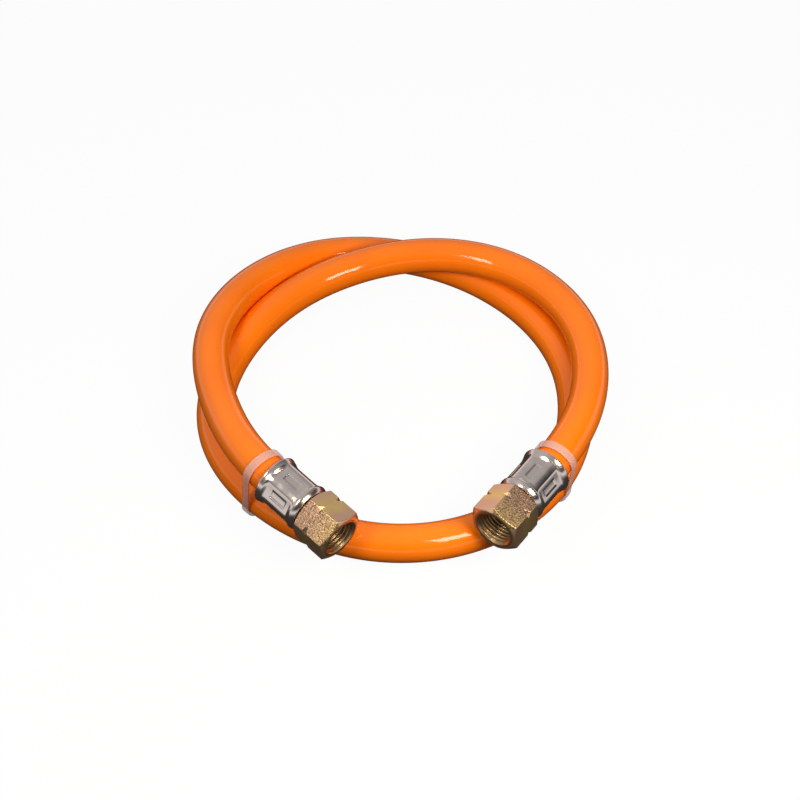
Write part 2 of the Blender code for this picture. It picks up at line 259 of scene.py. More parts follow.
def add_node(tree, kind, inputs=None, **settings):
    """Add a node, set its settings, and link or set each of its inputs."""
    node = tree.nodes.new(kind)
    for name, value in settings.items():
        setattr(node, name, value)
    fill(tree, node, inputs or {})
    return node


def compute(tree, operation, *values):
    """Result of a math node."""
    node = add_node(tree, "ShaderNodeMath", dict(enumerate(values)), operation=operation)
    return node.outputs["Value"]


def remap(tree, value, given=(0.0, 1.0), wanted=(0.0, 1.0)):
    """Value moved from its given range to the wanted one, and held within it."""
    node = add_node(tree, "ShaderNodeMapRange", {
        "Value": value, "From Min": given[0], "From Max": given[1],
        "To Min": wanted[0], "To Max": wanted[1],
    })
    return node.outputs["Result"]


def blend(tree, share, low, high):
    """Value between two others, by a share."""
    return add_node(tree, "ShaderNodeMix", {"Factor": share, 2: low, 3: high}).outputs[0]


def noise(tree, vector, size, detail, roughness=0.5):
    """Noise whose forms are about as large as the size."""
    node = add_node(tree, "ShaderNodeTexNoise", {
        "Vector": vector, "Scale": 1 / size, "Detail": detail, "Roughness": roughness,
    })
    return node.outputs["Fac"]


def colour_ramp(tree, factor, *stops):
    """Colour along a ramp of (position, colour) stops."""
    node = add_node(tree, "ShaderNodeValToRGB", {"Fac": factor})
    elements = node.color_ramp.elements
    for index, (position, colour) in enumerate(stops):
        element = elements[index] if index < 2 else elements.new(position)
        element.position, element.color = position, colour
    return node.outputs["Color"]


def bumps(tree, height, strength, distance):
    """Normal of a surface with a relief of the given height."""
    node = add_node(tree, "ShaderNodeBump", {
        "Height": height, "Strength": strength, "Distance": distance,
    })
    return node.outputs["Normal"]


def attribute(tree, name):
    """Vector stored in a piece's named attribute."""
    return add_node(tree, "ShaderNodeAttribute", attribute_name=name).outputs["Vector"]


def mirrored(tree, rays):
    """1 for a ray that metal or clear film has sent on, otherwise 0."""
    return compute(
        tree, "MAXIMUM", rays.outputs["Is Glossy Ray"], rays.outputs["Is Transmission Ray"],
    )


def hex_to_linear(code):
    """Linear colour of an sRGB hex code."""
    channels = [int(code[i:i + 2], 16) / 255 for i in (1, 3, 5)]
    linear = [c / 12.92 if c <= 0.04045 else ((c + 0.055) / 1.055) ** 2.4 for c in channels]
    return (*linear, 1.0)


def dimmed(colour, *shares):
    """Linear colour with each channel brought down to its share."""
    return (*(channel * share for channel, share in zip(colour, shares)), 1.0)


def new_tree(name, sockets):
    """Geometry node tree with the named inputs, its input node and its output node."""
    tree = bpy.data.node_groups.new(name, "GeometryNodeTree")
    for label, kind in (*sockets, ("Material", "NodeSocketMaterial")):
        tree.interface.new_socket(name=label, in_out="INPUT", socket_type=kind)
    tree.interface.new_socket(name="Geometry", in_out="OUTPUT", socket_type="NodeSocketGeometry")
    return tree, add_node(tree, "NodeGroupInput"), add_node(tree, "NodeGroupOutput")


def send_out(tree, given, result, geometry):
    """Give a node tree's geometry its material, and send it to the tree's output."""
    coated = add_node(tree, "GeometryNodeSetMaterial", {
        "Geometry": geometry, "Material": given.outputs["Material"],
    })
    tree.links.new(coated.outputs["Geometry"], result.inputs["Geometry"])


def grow(name, source, tree, values):
    """Plain mesh that a geometry node tree makes of a source mesh."""
    carrier = bpy.data.objects.new(name, source)
    bpy.context.scene.collection.objects.link(carrier)
    modifier = carrier.modifiers.new(tree.name, "NODES")
    modifier.node_group = tree
    for item in tree.interface.items_tree:
        if item.in_out == "INPUT" and item.name in values:
            modifier[item.identifier] = values[item.name]
    evaluated = carrier.evaluated_get(bpy.context.evaluated_depsgraph_get())
    mesh = bpy.data.meshes.new_from_object(evaluated)
    bpy.data.objects.remove(carrier)
    bpy.data.node_groups.remove(tree)
    if not mesh.polygons:
        raise RuntimeError(f"{name}: its node tree made no faces")
    mesh.name = name
    return mesh


def face_outwards(mesh):
    """Turn a closed mesh the right way round if its faces point inwards."""
    bm = bmesh.new()
    bm.from_mesh(mesh)
    if bm.calc_volume(signed=True) < 0:
        bmesh.ops.reverse_faces(bm, faces=bm.faces)
    bm.to_mesh(mesh)
    bm.free()


def grid_mesh(name, grid, closed_around=True):
    """Mesh of a grid of points that closes on itself row by row, and around if so asked."""
    rows, columns = grid.shape[:2]
    index = np.arange(rows * columns).reshape(rows, columns)
    ahead = np.roll(index, -1, axis=0)
    faces = np.stack([index, ahead, np.roll(ahead, -1, axis=1), np.roll(index, -1, axis=1)], -1)
    if not closed_around:
        faces = faces[:, :-1]
    mesh = bpy.data.meshes.new(name)
    mesh.from_pydata(grid.reshape(-1, 3).tolist(), [], faces.reshape(-1, 4).tolist())
    return mesh


def path_mesh(name, points, closed=False):
    """Mesh of edges that run from point to point."""
    count = len(points)
    edges = [(i, (i + 1) % count) for i in range(count if closed else count - 1)]
    mesh = bpy.data.meshes.new(name)
    mesh.from_pydata(points.tolist(), edges, [])
    return mesh


def vertex_places(mesh):
    """Array of a mesh's points."""
    places = np.empty(len(mesh.vertices) * 3)
    mesh.vertices.foreach_get("co", places)
    return places.reshape(-1, 3)


def keep_place(mesh, name):
    """Store each point's place in an attribute, so that a pattern can follow the piece."""
    attribute = mesh.attributes.new(name, "FLOAT_VECTOR", "POINT")
    attribute.data.foreach_set("vector", vertex_places(mesh).ravel())


def finish_piece(name, mesh, material, body, slot, *nodes):
    """Put a mesh in the scene, smooth, for the solids that it stands for."""
    face_outwards(mesh)
    mesh.shade_smooth()
    mesh.materials.clear()
    mesh.materials.append(material)
    piece = bpy.data.objects.new(name, mesh)
    bpy.context.scene.collection.objects.link(piece)
    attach(piece, body)
    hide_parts(*nodes)
    return piece


def ease(value):
    """Smooth step from 0 to 1."""
    value = np.clip(value, 0, 1)
    return value * value * (3 - 2 * value)


def soft_min(a, b, rounding):
    """The smaller of two radii, with the edge between them rounded."""
    share = np.clip(0.5 + 0.5 * (b - a) / rounding, 0, 1)
    return b + (a - b) * share - rounding * share * (1 - share)


def round_outline(points, radius, steps=3):
    """A closed outline with its corners rounded."""
    rounded = []
    count = len(points)
    for i, corner in enumerate(np.array(points)):
        before = np.array(points[i - 1]) - corner
        after = np.array(points[(i + 1) % count]) - corner
        reach_before = min(radius, 0.45 * np.linalg.norm(before))
        reach_after = min(radius, 0.45 * np.linalg.norm(after))
        start = corner + before / np.linalg.norm(before) * reach_before
        end = corner + after / np.linalg.norm(after) * reach_after
        for t in np.linspace(0, 1, steps + 1):
            rounded.append((1 - t) ** 2 * start + 2 * t * (1 - t) * corner + t * t * end)
    return np.array(rounded)


def turned(outline, segments):
    """Rings of a closed outline of (x, radius) points turned about the X axis."""
    angles = np.arange(segments) * math.tau / segments
    x = np.repeat(outline[:, :1], segments, axis=1)
    return np.stack([x, outline[:, 1:] * np.cos(angles), outline[:, 1:] * np.sin(angles)], -1)


class Fitting:
    """Place of one end fitting, read from the joint that its union nut turns on."""

    def __init__(self, side):
        joint = next(j for j in frame["joints"] if j["name"] == f"{side}_nut_turn")
        self.side = side
        self.nut_turn = math.radians(NUT_TURNS[side])
        self.axis = Vector(joint["axis"]).normalized()
        self.rim = Vector(joint["pos_m"]) - self.axis * (NUT_BACK + NUT_LENGTH / 2)
        across = Vector((-self.axis.y, self.axis.x, 0)).normalized()
        turn = Matrix((self.axis, across, self.axis.cross(across))).transposed()
        self.place = Matrix.LocRotScale(self.rim, turn, None)


FITTINGS = (Fitting("right"), Fitting("left"))


def smooth_curve(knots, first_slope, last_slope, steps):
    """Points on the cubic spline through the knots that has the given slopes at its ends."""
    chords = np.linalg.norm(np.diff(knots, axis=0), axis=1)
    system = np.eye(len(knots))
    slopes = np.zeros_like(knots)
    slopes[0] = first_slope
    slopes[-1] = last_slope
    for i in range(1, len(knots) - 1):
        before, after = chords[i - 1], chords[i]
        system[i, i - 1:i + 2] = (after, 2 * (before + after), before)
        slopes[i] = 3 * (
            after / before * (knots[i] - knots[i - 1]) + before / after * (knots[i + 1] - knots[i])
        )
    slopes = np.linalg.solve(system, slopes)
    points = []
    for i, chord in enumerate(chords):
        for t in np.arange(steps) / steps:
            points.append(
                (2 * t ** 3 - 3 * t ** 2 + 1) * knots[i]
                + (t ** 3 - 2 * t ** 2 + t) * chord * slopes[i]
                + (3 * t ** 2 - 2 * t ** 3) * knots[i + 1]
                + (t ** 3 - t ** 2) * chord * slopes[i + 1]
            )
    points.append(knots[-1])
    return np.array(points)


def hose_route(count):
    """Evenly spaced points on the hose's centre line, from its right tip to its left tip."""
    right, left = FITTINGS
    knots = np.array([tuple(right.rim), *ROUTE_KNOTS, tuple(left.rim)])
    free = smooth_curve(knots, -np.array(right.axis), np.array(left.axis), steps=40)
    radius = bpy.context.scene.hose_sizes.diameter / 2
    free[:, 2] = np.maximum(free[:, 2], radius)
    tips = [np.array(end.rim + end.axis * HOSE_INSERT) for end in FITTINGS]
    route = np.vstack([tips[0], free, tips[1]])
    travelled = np.concatenate([[0], np.cumsum(np.linalg.norm(np.diff(route, axis=0), axis=1))])
    wanted = np.linspace(0, travelled[-1], count)
    return np.column_stack([np.interp(wanted, travelled, route[:, axis]) for axis in range(3)])


# Finishes

def surface(name):
    """New material, its node tree and its shader."""
    material = bpy.data.materials.new(name)
    material.use_nodes = True
    tree = material.node_tree
    return material, tree, tree.nodes["Principled BSDF"]


def hose_rubber(colour):
    """Extruded rubber cover, semi-gloss orange.

    The die leaves it smooth, with faint lines along its length. The rubber itself is matt, and
    its gloss is the thin film of wax that it sweats out, so the gloss is weak but sharp.
    """
    material, tree, shader = surface("extruded_rubber_cover")
    place = attribute(tree, "hose_place")
    clouds = noise(tree, place, 25 * MM, 3)
    stretch = add_node(tree, "ShaderNodeMapping", {"Vector": place, "Scale": (0.2, 1.0, 1.0)})
    lines = noise(tree, stretch.outputs["Vector"], 0.6 * MM, 2)
    relief = bumps(tree, lines, 0.3, 0.05 * MM)
    base = hex_to_linear(colour)
    darker = dimmed(base, 0.95, 0.9, 0.85)
    fill(tree, shader, {
        "Base Color": colour_ramp(tree, clouds, (0.35, darker), (0.65, base)),
        "Roughness": remap(tree, clouds, (0.3, 0.7), (0.4, 0.5)),
        "IOR": 1.52, "Specular IOR Level": 0.03,
        "Coat Weight": 1.0, "Coat Roughness": 0.1, "Coat IOR": 1.4,
        "Normal": relief, "Coat Normal": relief,
    })
    return material


def bright_zinc(colour):
    """Pressed steel sleeve, bright zinc plated.

    Zinc plate is a grey mirror, dulled a little where the jaws have pressed it, with a faint
    orange peel from the bath.
    """
    material, tree, shader = surface("bright_zinc_plated_steel")
    place = attribute(tree, "fitting_place")
    patches = noise(tree, place, 4 * MM, 3)
    peel = noise(tree, place, 0.7 * MM, 4)
    base = hex_to_linear(colour)
    bluish = dimmed(base, 0.82, 0.84, 0.92)
    fill(tree, shader, {
        "Metallic": 1.0,
        "Base Color": colour_ramp(tree, patches, (0.3, bluish), (0.7, base)),
        "Roughness": remap(tree, patches, (0.3, 0.7), (0.14, 0.24)),
        "Normal": bumps(tree, peel, 0.12, 0.04 * MM),
    })
    return material


def yellow_chromate(colour, tint):
    """Drawn hexagon steel, zinc plated and yellow chromated.

    The chromate is yellow where it is thin, and pink where it is thicker, towards the nut's
    ends. Every second flat has kept the bar's coarse skin, which sparkles under a lamp; its
    colour is pinker there, and darkened to specks of a fifth to three fifths, which is partly
    grain and partly painted shade. Inside the nut the film is golden, and darkened to half by
    painted shade, so that it looks brown.
    """
    material, tree, shader = surface("yellow_chromated_steel")
    place = attribute(tree, "nut_place")
    split = add_node(tree, "ShaderNodeSeparateXYZ", {"Vector": place})
    sideways = add_node(
        tree, "ShaderNodeVectorMath", {0: place, 1: (0, 1, 1)}, operation="MULTIPLY",
    )
    radius = add_node(
        tree, "ShaderNodeVectorMath", {0: sideways.outputs["Vector"]}, operation="LENGTH",
    ).outputs["Value"]
    # Painted shade inside the nut: the colour is darkened to half within 7 mm of the axis, and
    # comes back to full by 7.9 mm.
    painted_bore_shade = remap(tree, radius, (7.0 * MM, 7.9 * MM), (0.5, 1.0))
    outside = remap(tree, radius, (7.9 * MM, 8.2 * MM))

    angle = compute(tree, "ARCTAN2", split.outputs["Z"], split.outputs["Y"])
    wave = compute(tree, "SINE", compute(tree, "MULTIPLY", angle, 3.0))
    every_second = remap(tree, wave, (0.1, -0.1))
    coarse = compute(tree, "MULTIPLY", every_second, outside)

    ends = remap(tree, split.outputs["X"], (NUT_BACK, NUT_BACK + NUT_LENGTH))
    clouds = noise(tree, place, 6 * MM, 2)
    shifted = compute(tree, "MULTIPLY_ADD", clouds, 0.5, ends)
    film = compute(tree, "MULTIPLY", shifted, remap(tree, coarse, wanted=(1.0, 0.45)))
    golden_inside = blend(tree, outside, 0.48, film)
    yellow, pink = hex_to_linear(colour), hex_to_linear(tint)
    tone = colour_ramp(tree, golden_inside, (0.3, pink), (0.72, yellow), (0.98, pink))

    grain = noise(tree, place, 0.6 * MM, 3, roughness=0.7)
    # Painted shade with grain: every second flat is darkened to specks of a fifth to three fifths.
    specks_and_painted_flat_shade = remap(tree, grain, (0.4, 0.6), (0.2, 0.6))
    # The colour's factor: the flats' specks and painted shade, times the painted shade inside the
    # nut.
    shade = compute(tree, "MULTIPLY", blend(tree, coarse, 1.0, specks_and_painted_flat_shade), painted_bore_shade)
    base = add_node(
        tree, "ShaderNodeVectorMath", {0: tone, "Scale": shade}, operation="SCALE",
    )
    fill(tree, shader, {
        "Metallic": 1.0,
        "Base Color": base.outputs["Vector"],
        "Roughness": remap(tree, coarse, wanted=(0.35, 0.42)),
        "Normal": bumps(tree, grain, coarse, 0.1 * MM),
    })
    return material


def turned_brass(colour):
    """Hose tail of turned brass, with the fine rings that the lathe tool leaves."""
    material, tree, shader = surface("turned_brass")
    place = attribute(tree, "fitting_place")
    stains = noise(tree, place, 3 * MM, 3)
    rings = add_node(tree, "ShaderNodeTexWave", {
        "Vector": place, "Scale": 1 / (0.3 * MM) / math.tau, "Distortion": 0.4,
    }, wave_type="BANDS", bands_direction="X")
    base = hex_to_linear(colour)
    stained = dimmed(base, 0.7, 0.66, 0.6)
    fill(tree, shader, {
        "Metallic": 1.0,
        "Base Color": colour_ramp(tree, stains, (0.3, stained), (0.7, base)),
        "Roughness": 0.3,
        "Normal": bumps(tree, rings.outputs["Fac"], 0.3, 0.02 * MM),
    })
    return material


def clear_film(colour):
    """Stretched plastic film, milky with a pink cast, glossy with slight creases.

    Each of its two surfaces hides half of what is behind it, so the orange shows through.
    """
    material, tree, shader = surface("stretched_milky_film")
    place = add_node(tree, "ShaderNodeTexCoord").outputs["Object"]
    creases = noise(tree, place, 6 * MM, 2)
    fill(tree, shader, {
        "Base Color": hex_to_linear(colour), "IOR": 1.5, "Alpha": 0.55,
        "Roughness": remap(tree, creases, (0.3, 0.7), (0.2, 0.35)),
        "Normal": bumps(tree, creases, 0.3, 0.2 * MM),
    })
    return material


# Pieces

def sweep_tree():
    """Node tree that sweeps a circle along a path and keeps the straightened place."""
    tree, given, result = new_tree("hose_sweep", (
        ("Path", "NodeSocketGeometry"), ("Radius", "NodeSocketFloat"),
        ("Rings", "NodeSocketInt"), ("Sides", "NodeSocketInt"),
    ))
    path = add_node(tree, "GeometryNodeMeshToCurve", {"Mesh": given.outputs["Path"]})
    even = add_node(tree, "GeometryNodeResampleCurve", {
        "Curve": path.outputs["Curve"], "Count": given.outputs["Rings"],
    })
    travelled = add_node(tree, "GeometryNodeSplineParameter")
    marked = add_node(tree, "GeometryNodeStoreNamedAttribute", {
        "Geometry": even.outputs["Curve"], "Name": "along", "Value": travelled.outputs["Length"],
    }, data_type="FLOAT", domain="POINT")
    circle = add_node(tree, "GeometryNodeCurvePrimitiveCircle", {
        "Resolution": given.outputs["Sides"], "Radius": given.outputs["Radius"],
    }, mode="RADIUS")
    place = add_node(tree, "GeometryNodeInputPosition")
    section = add_node(tree, "GeometryNodeStoreNamedAttribute", {
        "Geometry": circle.outputs["Curve"], "Name": "section",
        "Value": place.outputs["Position"],
    }, data_type="FLOAT_VECTOR", domain="POINT")
    tube = add_node(tree, "GeometryNodeCurveToMesh", {
        "Curve": marked.outputs["Geometry"], "Profile Curve": section.outputs["Geometry"],
    })
    along = add_node(tree, "GeometryNodeInputNamedAttribute", {"Name": "along"}, data_type="FLOAT")
    across = add_node(
        tree, "GeometryNodeInputNamedAttribute", {"Name": "section"}, data_type="FLOAT_VECTOR",
    )
    parts = add_node(tree, "ShaderNodeSeparateXYZ", {"Vector": across.outputs["Attribute"]})
    straight = add_node(tree, "ShaderNodeCombineXYZ", {
        "X": along.outputs["Attribute"], "Y": parts.outputs["X"], "Z": parts.outputs["Y"],
    })
    kept = add_node(tree, "GeometryNodeStoreNamedAttribute", {
        "Geometry": tube.outputs["Mesh"], "Name": "hose_place",
        "Value": straight.outputs["Vector"],
    }, data_type="FLOAT_VECTOR", domain="POINT")
    real = add_node(tree, "GeometryNodeRealizeInstances", {"Geometry": kept.outputs["Geometry"]})
    send_out(tree, given, result, real.outputs["Geometry"])
    return tree


class GASHOSE_OT_lay_hose(Operator):
    """Sweep the hose along its coil"""

    bl_idname = "gas_hose.lay_hose"
    bl_label = "Lay the hose"

    def execute(self, context):
        sizes = context.scene.hose_sizes
        route = hose_route(sizes.rings)
        path = path_mesh("hose_path", route)
        rubber = hose_rubber(sizes.colour)
        mesh = grow("coiled_hose", path, sweep_tree(), {
            "Radius": sizes.diameter / 2, "Rings": sizes.rings, "Sides": sizes.sides,
            "Material": rubber,
        })
        add_wall(mesh, route, sizes)
        hose = finish_piece("coiled_hose", mesh, rubber, "hose_body", "hose_rubber", "hose")
        return {"FINISHED"}


def add_wall(mesh, route, sizes):
    """Give an open tube its bore, and close the rim at each end."""
    sides = sizes.sides
    outer = vertex_places(mesh)
    kept = np.empty(len(mesh.vertices) * 3)
    mesh.attributes["hose_place"].data.foreach_get("vector", kept)
    kept = kept.reshape(-1, 3)
    ring = np.rint(kept[:, 0] / kept[:, 0].max() * (sizes.rings - 1)).astype(int)
    share = 1 - sizes.wall / (sizes.diameter / 2)
    inner = route[ring] + (outer - route[ring]) * share
    count = len(outer)
    bm = bmesh.new()
    bm.from_mesh(mesh)
    layer = bm.verts.layers.float_vector["hose_place"]
    bm.verts.ensure_lookup_table()
    twins = []
    for i in range(count):
        twin = bm.verts.new(inner[i])
        twin[layer] = (kept[i, 0], kept[i, 1] * share, kept[i, 2] * share)
        twins.append(twin)
    bm.verts.ensure_lookup_table()
    walls = [[twins[v.index] for v in reversed(face.verts)] for face in bm.faces]
    rims = [edge for edge in bm.edges if edge.is_boundary]
    rims = [(edge.verts[0].index, edge.verts[1].index) for edge in rims]
    for corners in walls:
        bm.faces.new(corners)
    for a, b in rims:
        bm.faces.new((bm.verts[a], bm.verts[b], twins[b], twins[a]))
    bmesh.ops.recalc_face_normals(bm, faces=bm.faces)
    bm.to_mesh(mesh)
    bm.free()


def sleeve_sector(sizes):
    """Grid of one crimp of a sleeve: the flat in its middle and half a ridge on either side."""
    outside = np.array((
        (0.00, 8.46), (0.06, 8.72), (0.22, 8.95), (0.45, 9.05), (0.75, 9.02), (1.15, 8.86),
        (1.7, 8.71), (2.6, 8.55), (3.8, 8.42), (5.0, 8.40), (13.0, 8.40), (14.2, 8.36),
        (14.75, 8.34), (15.0, 8.42), (15.3, 8.60), (15.7, 8.64), (16.1, 8.56), (16.6, 8.34),
        (17.1, 8.05), (17.45, 7.76), (17.58, 7.55), (17.60, 7.30),
    )) * MM
    x = np.concatenate([np.linspace(0, 2.4, 20), np.linspace(2.55, 14.2, 76),
                        np.linspace(14.3, 17.6, 27)]) * MM
    radius = np.interp(x, outside[:, 0], outside[:, 1])
    inside = round_outline(np.array((
        (17.60, 4.30), (16.30, 4.30), (16.30, 6.95), (2.72, 6.95), (0.00, 8.20),
    )) * MM, 0.1 * MM, 2)
    half = math.pi / sizes.flats
    around = np.linspace(-half, half, 43)
    flare_end, collar_start, hollow_depth = 1.9 * MM, 14.9 * MM, 0.10 * MM
    window_middle, window_edge = 8.9 * MM, 0.7 * MM
    pressed = ease((x - flare_end) / (1.6 * MM)) * ease((collar_start - x) / (1.3 * MM))
    hollow = hollow_depth * np.cos(around / half * math.pi / 2) ** 2
    flat = (sizes.flat_radius - hollow) / np.cos(around)
    from_middle = (x - window_middle)[:, None]
    aside = (sizes.flat_radius * np.tan(around))[None, :]
    window = (
        ease((sizes.window_length / 2 - np.abs(from_middle)) / window_edge)
        * ease((sizes.window_width / 2 - np.abs(aside)) / window_edge)
    )
    ridge = radius[:, None] * np.ones_like(around)
    crimped = soft_min(ridge, flat[None, :] * np.ones_like(ridge), 0.28 * MM)
    outer = ridge + (crimped - ridge) * pressed[:, None] - sizes.window_depth * window
    inner = np.repeat(inside[:, 1:], len(around), axis=1)
    rows = np.vstack([outer, inner])
    along = np.concatenate([x, inside[:, 0]])[:, None] * np.ones_like(around)
    grid = np.stack([along, -rows * np.sin(around), rows * np.cos(around)], -1)
    return grid_mesh("sleeve_sector", grid, closed_around=False)


def crimp_tree():
    """Node tree that sets a sector round the X axis as often as there are flats."""
    tree, given, result = new_tree("crimps_round_sleeve", (
        ("Sector", "NodeSocketGeometry"), ("Flats", "NodeSocketInt"),
    ))
    points = add_node(tree, "GeometryNodePoints", {"Count": given.outputs["Flats"]})
    index = add_node(tree, "GeometryNodeInputIndex")
    pitch = compute(tree, "DIVIDE", math.tau, given.outputs["Flats"])
    angle = compute(tree, "MULTIPLY", index.outputs["Index"], pitch)
    turn = add_node(tree, "ShaderNodeCombineXYZ", {"X": angle})
    copies = add_node(tree, "GeometryNodeInstanceOnPoints", {
        "Points": points.outputs[0], "Instance": given.outputs["Sector"],
        "Rotation": turn.outputs["Vector"],
    })
    real = add_node(
        tree, "GeometryNodeRealizeInstances", {"Geometry": copies.outputs["Instances"]},
    )
    joined = add_node(tree, "GeometryNodeMergeByDistance", {
        "Geometry": real.outputs["Geometry"], "Distance": 1e-6,
    })
    send_out(tree, given, result, joined.outputs["Geometry"])
    return tree


class GASHOSE_OT_press_sleeves(Operator):
    """Press the two crimp sleeves"""

    bl_idname = "gas_hose.press_sleeves"
    bl_label = "Press the crimp sleeves"

    def execute(self, context):
        sizes = context.scene.sleeve_sizes
        zinc = bright_zinc(sizes.colour)
        for fitting in FITTINGS:
            name = f"pressed_sleeve_{fitting.side}"
            mesh = grow(name, sleeve_sector(sizes), crimp_tree(), {
                "Flats": sizes.flats, "Material": zinc,
            })
            keep_place(mesh, "fitting_place")
            mesh.transform(fitting.place)
            finish_piece(
                name, mesh, zinc, "hose_body", "sleeve_zinc", f"crimp_sleeve_{fitting.side}",
            )
        return {"FINISHED"}


def hexagon(sizes, angles):
    """Radius of the hexagon bar at each angle from a corner, its corners slightly rounded."""
    sixth = math.pi / 3
    from_corner = np.mod(angles, sixth)
    apothem = sizes.across_flats / 2
    one = apothem / np.cos(from_corner - sixth / 2)
    other = apothem / np.cos(np.minimum(from_corner, sixth - from_corner) + sixth / 2)
    return soft_min(one, other, 0.3 * MM)


def nut_outside(sizes, depth, angles):
    """Radius of the nut's outside at each depth from the mouth and each angle.

    A blunt notch runs round its corners, and both of its ends are chamfered.
    """
    face = sizes.face_diameter / 2
    corner = sizes.across_flats / 2 / math.cos(math.radians(30))
    chamfer = math.tan(math.radians(60))
    notch_depth, notch_slope, blunt = 0.95 * MM, 0.95, 0.12 * MM
    depth = depth[:, None]
    bar = hexagon(sizes, angles)[None, :] * np.ones_like(depth)
    from_notch = np.sqrt((depth - sizes.notch_from_mouth) ** 2 + blunt ** 2)
    notch = corner - notch_depth + notch_slope * (from_notch - blunt)
    radius = soft_min(bar, notch, 0.08 * MM)
    radius = soft_min(radius, face + depth * chamfer, 0.3 * MM)
    return soft_min(radius, face + (NUT_LENGTH - depth) * chamfer, 0.12 * MM)


def nut_inside(sizes, depth, angles):
    """Radius of the nut's left-hand thread, with its countersunk mouth and its run-out."""
    root, crest = sizes.thread_root / 2, sizes.thread_crest / 2
    run_out = 0.6 * MM
    depth = depth[:, None]
    turn = np.mod(depth / sizes.thread_pitch - angles[None, :] / math.tau, 1)
    tooth = 1 - np.abs(2 * turn - 1)
    ridge = np.clip(1.3 * tooth - 0.15, 0, 1)
    ridge = ridge + (1 - ridge) * ease((depth - THREAD_END) / run_out)
    thread = root - (root - crest) * ridge
    countersink = SOCKET_MOUTH - depth
    return -soft_min(-thread, -countersink, 0.06 * MM)


def nut_rings(sizes):
    """Grid of a union nut's points: outside, faces, thread, and the hole for the tail."""
    columns, rows_along, rim = 44, 104, 0.26 * MM
    sector = np.sin(np.linspace(-1, 1, columns + 1)[:-1] * math.pi / 2) * math.pi / 6
    angles = np.concatenate([sector + (2 * k + 1) * math.pi / 6 for k in range(6)])
    face = sizes.face_diameter / 2
    ends = np.array((0.0, 0.03, 0.08, 0.16)) * MM
    middle = np.linspace(rim, NUT_LENGTH - rim, rows_along)
    outside = np.concatenate([ends, middle, NUT_LENGTH - ends[::-1]])
    rows = [(depth, row) for depth, row in zip(outside, nut_outside(sizes, outside, angles))]
    back = [(NUT_LENGTH, face - 0.12 * MM), (NUT_LENGTH, 6.5 * MM), (NUT_LENGTH, 4.45 * MM),
            (NUT_LENGTH - 0.1 * MM, SHANK_HOLE), (SHOULDER + 0.1 * MM, SHANK_HOLE),
            (SHOULDER, SHANK_HOLE + 0.1 * MM), (SHOULDER, 5.6 * MM)]
    rows += [(depth, np.full_like(angles, radius)) for depth, radius in back]
    inside = np.concatenate([
        np.linspace(10.9, 9.6, 4), np.linspace(9.5, 0.14, rows_along), (0.06, 0.0),
    ]) * MM
    rows += [(depth, row) for depth, row in zip(inside, nut_inside(sizes, inside, angles))]
    rows += [(0.0, np.full_like(angles, radius * MM)) for radius in (6.8, 7.3)]
    rows += [(0.0, np.full_like(angles, face - 0.1 * MM))]
    rings = [
        np.stack([
            np.full_like(angles, NUT_BACK + NUT_LENGTH - depth),
            radius * np.cos(angles), radius * np.sin(angles),
        ], -1)
        for depth, radius in rows
    ]
    return np.array(rings)


class GASHOSE_OT_cut_nuts(Operator):
    """Cut the two union nuts with their left-hand thread and notches"""

    bl_idname = "gas_hose.cut_nuts"
    bl_label = "Cut the union nuts"

    def execute(self, context):
        sizes = context.scene.nut_sizes
        chromate = yellow_chromate(sizes.colour, sizes.second_colour)
        for fitting in FITTINGS:
            name = f"cut_nut_{fitting.side}"
            mesh = grid_mesh(name, nut_rings(sizes))
            keep_place(mesh, "nut_place")
            mesh.transform(fitting.place @ Matrix.Rotation(fitting.nut_turn, 4, "X"))
            finish_piece(
                name, mesh, chromate, f"{fitting.side}_nut", "nut_yellow_zinc",
                f"union_nut_{fitting.side}",
            )
        return {"FINISHED"}


def tail_outline(sizes):
    """Outline of a hose tail: barbs, collar, shank, and the head with its sealing cone."""
    bore = sizes.bore / 2
    crest, valley = 2.85 * MM, 2.45 * MM
    collar, shank, head, tip = 5.6 * MM, 4.0 * MM, 5.3225 * MM, 3.0 * MM
    collar_start, collar_end = TAIL_COLLAR
    cone, nose = TAIL_HEAD + 1.8 * MM, TAIL_HEAD + 4.4 * MM
    pitch = (collar_start - TAIL_START) / (sizes.barbs + 0.5)
    outline = [(TAIL_START, bore), (TAIL_START, valley)]
    for index in range(sizes.barbs):
        barb = TAIL_START + pitch * (index + 0.8)
        outline += [(barb, crest), (barb + pitch * 0.15, valley)]
    outline += [
        (collar_start, valley), (collar_start, collar), (collar_end, collar),
        (collar_end, shank), (TAIL_HEAD, shank), (TAIL_HEAD, head), (cone, head), (nose, tip),
        (nose, bore + 0.35 * MM), (nose - 0.4 * MM, bore),
    ]
    return round_outline(outline, 0.12 * MM)


class GASHOSE_OT_turn_tails(Operator):
    """Turn the two hose tails"""

    bl_idname = "gas_hose.turn_tails"
    bl_label = "Turn the hose tails"

    def execute(self, context):
        sizes = context.scene.tail_sizes
        brass = turned_brass(sizes.colour)
        for fitting in FITTINGS:
            name = f"turned_tail_{fitting.side}"
            mesh = grid_mesh(name, turned(tail_outline(sizes), TAIL_SIDES))
            keep_place(mesh, "fitting_place")
            mesh.transform(fitting.place)
            finish_piece(
                name, mesh, brass, "hose_body", "tail_brass", f"hose_tail_{fitting.side}",
            )
        return {"FINISHED"}


